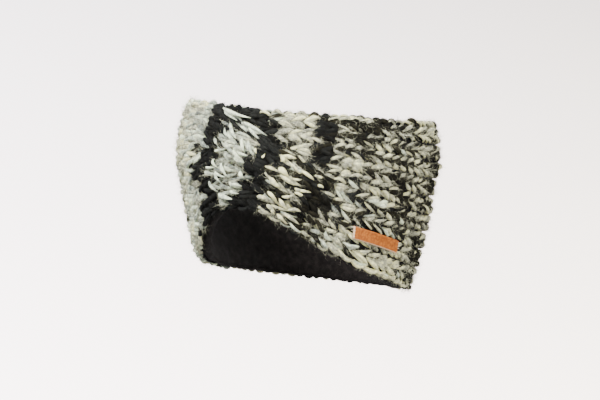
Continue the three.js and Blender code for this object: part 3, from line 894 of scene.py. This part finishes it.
def label_piece():
    nx, nz = 64, 16
    u = np.linspace(0, 1, nx + 1)
    v = np.linspace(0, 1, nz + 1)
    # rows spread evenly over the tab; bunch leaves them as they are
    bunch = lambda s, e: np.clip(s + 0.0 * e, 0, 1)
    uu, vv = np.meshgrid(bunch(u, 0), bunch(v, 0), indexing="ij")
    tall, thick, clear = 8.4, 1.4, 0.35
    t = TAB_FROM + (TAB_TO - TAB_FROM) * uu
    z = TAB_Z0 + (TAB_Z1 - TAB_Z0) * uu + tall * (vv - 0.5)
    # distance from the nearest edge, mm
    ex = np.minimum(uu, 1 - uu) * 43.0
    ez = np.minimum(vv, 1 - vv) * tall
    e = np.minimum(ex, ez)
    bevel = 0.35 * (1 - ease(e / 0.7))
    dish = 0.10 * ease((e - 0.8) / 2.5)
    face = place(t, z, clear + thick - bevel - dish)
    back = place(t, z, clear + 0.0 * uu)
    n1, n2 = uu.shape
    verts = np.concatenate([face.reshape(-1, 3), back.reshape(-1, 3)], 0)
    off = n1 * n2
    idx = lambda i, j: i * n2 + j
    faces, mats = [], []
    for i in range(n1 - 1):
        for j in range(n2 - 1):
            faces.append((idx(i, j), idx(i + 1, j), idx(i + 1, j + 1), idx(i, j + 1)))
            # The pale cut-edge colour on the face's bottom row and left column is a painted highlight along the lit
            # edges; on the rim and back it is the raw cut edge.
            mats.append(1 if j == 0 or i == 0 else 0)
            faces.append((off + idx(i, j), off + idx(i, j + 1), off + idx(i + 1, j + 1), off + idx(i + 1, j)))
            mats.append(1)
    rim = ([(i, 0) for i in range(n1 - 1)] + [(n1 - 1, j) for j in range(n2 - 1)]
           + [(i, n2 - 1) for i in range(n1 - 1, 0, -1)] + [(0, j) for j in range(n2 - 1, 0, -1)])
    for a, b in zip(rim, rim[1:] + rim[:1]):
        faces.append((idx(*b), idx(*a), off + idx(*a), off + idx(*b)))
        mats.append(1)
    flat = np.array(faces).ravel()
    return mesh_object("leather_label", verts, flat, np.full(len(faces), 4), [LEATHER, CUT_EDGE_AND_HIGHLIGHT], mats)


label = label_piece()
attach(label, "root")
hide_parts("label")


def label_threads():
    """Short stitches over the tab's two ends, which hold it to the knit."""
    g = np.random.default_rng(31)
    q = np.linspace(0, 1, 9)
    rows = []
    for end, sign in ((TAB_FROM, -1), (TAB_TO, 1)):
        for v in (-3.3, -1.15, 1.15, 3.3):
            u = (end - TAB_FROM) / (TAB_TO - TAB_FROM)
            zc = TAB_Z0 + (TAB_Z1 - TAB_Z0) * u + v * 0.92 + 0.15 * g.normal()
            x = (-1.2 + 2.2 * q if sign < 0 else -1.0 + 1.6 * q) * sign + 0.15 * g.normal()
            h = 1.45 + 0.62 * np.sin(np.pi * np.clip(q * 1.15 - 0.08, 0, 1)) - 2.2 * ease((q - 0.55) / 0.45) - 0.5 * ease((0.12 - q) / 0.12)
            t = end + x / 1.63
            z = zc + 0.25 * v / 3.3 * x * sign
            rows.append(place(t, z + 0 * q, h))
    c = np.stack(rows)
    tan = np.gradient(c, axis=1)
    tan /= np.linalg.norm(tan, axis=-1, keepdims=True)
    a = np.cross(tan, np.array([0, 0, 1.0]))
    a /= np.linalg.norm(a, axis=-1, keepdims=True)
    b = np.cross(a, tan)
    r = np.full(c.shape[:2], 0.24)
    v, f, s, yarn = tubes(c, a, b, r, r, sides=8)
    ob = mesh_object("label_threads", v, f.ravel(), s.ravel(), [THREAD])
    yarn_marks(ob, yarn, np.full(len(v), 0.6))
    return ob


THREAD = wool("thread_ecru", tone(0.42, 1, 0.84, 0.62), tone(0.6, 1, 0.84, 0.62), tone(0.75, 1, 0.84, 0.62), 0.05, spun=True)
threads = label_threads()
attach(threads, "root")
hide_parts("label")


# ------------------------------------------------------------------ surroundings
def glow(name, low_left, low_right, high_left, high_right, half):
    """A glowing white backdrop whose painted light looks as if lit from behind the camera, a little brighter low and
    left.
    """
    n = Nodes(name)
    pos = n.add("ShaderNodeTexCoord")
    split = n.add("ShaderNodeSeparateXYZ")
    n.link(pos, "UV", split, "Vector")
    mixes = []
    for lo, hi in ((low_left, low_right), (high_left, high_right)):
        m = n.add("ShaderNodeMix", data_type="RGBA")
        m.inputs[6].default_value = lo
        m.inputs[7].default_value = hi
        n.link(split, "X", m, 0)
        mixes.append(m)
    up = n.add("ShaderNodeMix", data_type="RGBA")
    n.link(split, "Y", up, 0)
    n.tree.links.new(mixes[0].outputs[2], up.inputs[6])
    n.tree.links.new(mixes[1].outputs[2], up.inputs[7])
    shade = n.add("ShaderNodeEmission", {"Strength": 1.0})
    n.tree.links.new(up.outputs[2], shade.inputs["Color"])
    n.link(shade, "Emission", n.out, "Surface")
    return n.mat


def backdrop():
    away = np.array([-math.sin(28 * RAD), math.cos(28 * RAD), 0.0])
    side = np.array([math.cos(28 * RAD), math.sin(28 * RAD), 0.0])
    up = np.array([0.0, 0.0, 1.0])
    mid = away * 3200.0 + up * (-115.0)
    w, h = 1500.0, 1000.0
    verts = [mid + side * w * a + up * h * b for a, b in ((-1, -1), (1, -1), (1, 1), (-1, 1))]
    ob = mesh_object("studio_backdrop", verts, np.arange(4), np.array([4]),
                     [glow("studio_white", BL, BR, TL, TR, (w, h))], smooth=False)
    lay = ob.data.uv_layers.new(name="UVMap")
    for k, uv in enumerate(((0, 0), (1, 0), (1, 1), (0, 1))):
        # the photograph's frame covers the middle of the sheet
        lay.data[k].uv = (0.5 + (uv[0] - 0.5) * w / 645.0, 0.5 + (uv[1] - 0.5) * h / 430.0)
    ob.visible_diffuse = False
    ob.visible_glossy = False


# Painted light on the backdrop: brighter low and left, dimmer high and right.
BL, BR = (7.9, 7.1, 7.0, 1), (6.6, 5.9, 5.3, 1)
TL, TR = (4.6, 4.25, 4.3, 1), (3.0, 2.72, 2.55, 1)
backdrop()


def floor():
    n = Nodes("studio_floor")
    shade = n.add("ShaderNodeBsdfPrincipled", {"Base Color": (0.85, 0.84, 0.83, 1), "Roughness": 1.0,
                                               "Specular IOR Level": 0.0,
                                               "Emission Color": (1.0, 0.98, 0.97, 1), "Emission Strength": 2.6})
    n.link(shade, "BSDF", n.out, "Surface")
    k = np.arange(64) / 64 * 2 * np.pi
    verts = np.stack([4000 * np.cos(k), 4000 * np.sin(k), np.full(64, -1600.0)], -1)
    ob = mesh_object("studio_ground", verts, np.arange(64), np.array([64]), [n.mat], smooth=False)
    ob.visible_diffuse = False
    ob.visible_glossy = False


floor()

RIGHT = Vector((math.cos(28 * RAD), math.sin(28 * RAD), 0))
BACK = Vector((math.sin(28 * RAD) * math.cos(2 * RAD), -math.cos(28 * RAD) * math.cos(2 * RAD), math.sin(2 * RAD)))
UP = Vector((-math.sin(28 * RAD) * math.sin(2 * RAD), math.cos(28 * RAD) * math.sin(2 * RAD), math.cos(2 * RAD)))

cam_data = bpy.data.cameras.new("camera")
cam = bpy.data.objects.new("camera", cam_data)
bpy.context.scene.collection.objects.link(cam)
cam_data.lens = 131.4
cam_data.sensor_width = 36.0
cam_data.clip_start, cam_data.clip_end = 0.05, 50.0
cam.location = BACK * 1.5 - RIGHT * 0.006507 - UP * 0.003425
cam.rotation_mode = "QUATERNION"
cam.rotation_quaternion = (-BACK).to_track_quat("-Z", "Y")
bpy.context.scene.camera = cam


def area_light(name, where, size, power, colour=(1, 1, 1)):
    data = bpy.data.lights.new(name, "AREA")
    data.shape = "SQUARE"
    data.size = size
    data.energy = power
    data.color = colour
    ob = bpy.data.objects.new(name, data)
    bpy.context.scene.collection.objects.link(ob)
    ob.location = where
    ob.rotation_mode = "QUATERNION"
    ob.rotation_quaternion = (-Vector(where)).to_track_quat("-Z", "Y")
    return ob


area_light("key", tuple(BACK * 1.5 - RIGHT * 0.9 + UP * 1.2), 0.7, 126.0)
area_light("fill", tuple(BACK * 1.5 + RIGHT * 1.5 + UP * 0.3), 1.2, 64.0, (1.0, 0.98, 0.93))
area_light("over", tuple(UP * 1.8 + BACK * 0.1), 1.4, 30.0)

world = bpy.data.worlds.new("world")
bpy.context.scene.world = world
world.use_nodes = True
tree = world.node_tree
soft = tree.nodes["Background"]
soft.inputs["Color"].default_value = (1.0, 0.985, 0.975, 1)
soft.inputs["Strength"].default_value = 0.5
bright = tree.nodes.new("ShaderNodeBackground")
bright.inputs["Color"].default_value = (1.0, 0.975, 0.965, 1)
bright.inputs["Strength"].default_value = 5.2
path = tree.nodes.new("ShaderNodeLightPath")
both = tree.nodes.new("ShaderNodeMixShader")
tree.links.new(path.outputs["Is Camera Ray"], both.inputs[0])
tree.links.new(soft.outputs[0], both.inputs[1])
tree.links.new(bright.outputs[0], both.inputs[2])
tree.links.new(both.outputs[0], tree.nodes["World Output"].inputs["Surface"])
